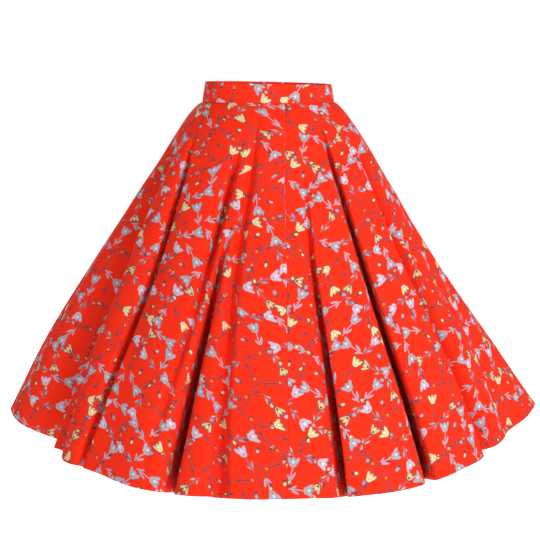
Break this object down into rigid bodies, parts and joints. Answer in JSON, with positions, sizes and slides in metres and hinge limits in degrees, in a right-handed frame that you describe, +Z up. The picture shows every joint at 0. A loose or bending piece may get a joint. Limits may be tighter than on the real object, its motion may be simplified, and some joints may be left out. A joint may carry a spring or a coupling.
{
  "type": "circle skirt",
  "caption": "Full circle skirt with a fitted waistband and a back zip, worn on an unseen figure, hanging in deep soft folds.",
  "frame": {"origin": "centre of the waist opening, at the seam between the waistband and the skirt", "axes": "+Z up through the waist opening, -Y towards the wearer's front, +X towards the wearer's left"},
  "size_m": [0.9893, 0.7891, 0.6894],
  "materials": {
    "printed_cotton": "plain-woven cotton, red-orange, printed all over with tossed flowers in silver blue, lavender white, cream, beige and dark outline",
    "zip_tape": "red woven tape with a red nylon coil",
    "zip_metal": "plain bright metal"
  },
  "bodies": {
    "skirt": {"panel_front_left": "printed_cotton", "panel_back_left": "printed_cotton", "panel_back_right": "printed_cotton", "panel_front_right": "printed_cotton", "waistband": "printed_cotton", "zip": "zip_tape", "zip_slider": "zip_metal"},
    "pull": {"zip_pull": "zip_metal"}
  },
  "joints": [
    {"name": "pull_hinge", "type": "hinge", "parent": "skirt", "child": "pull", "pos_m": [-0.02034, 0.0875, 0.02842], "axis": [0.9913, 0.1303, -0.018], "range_deg": [0, 170]}
  ]
}
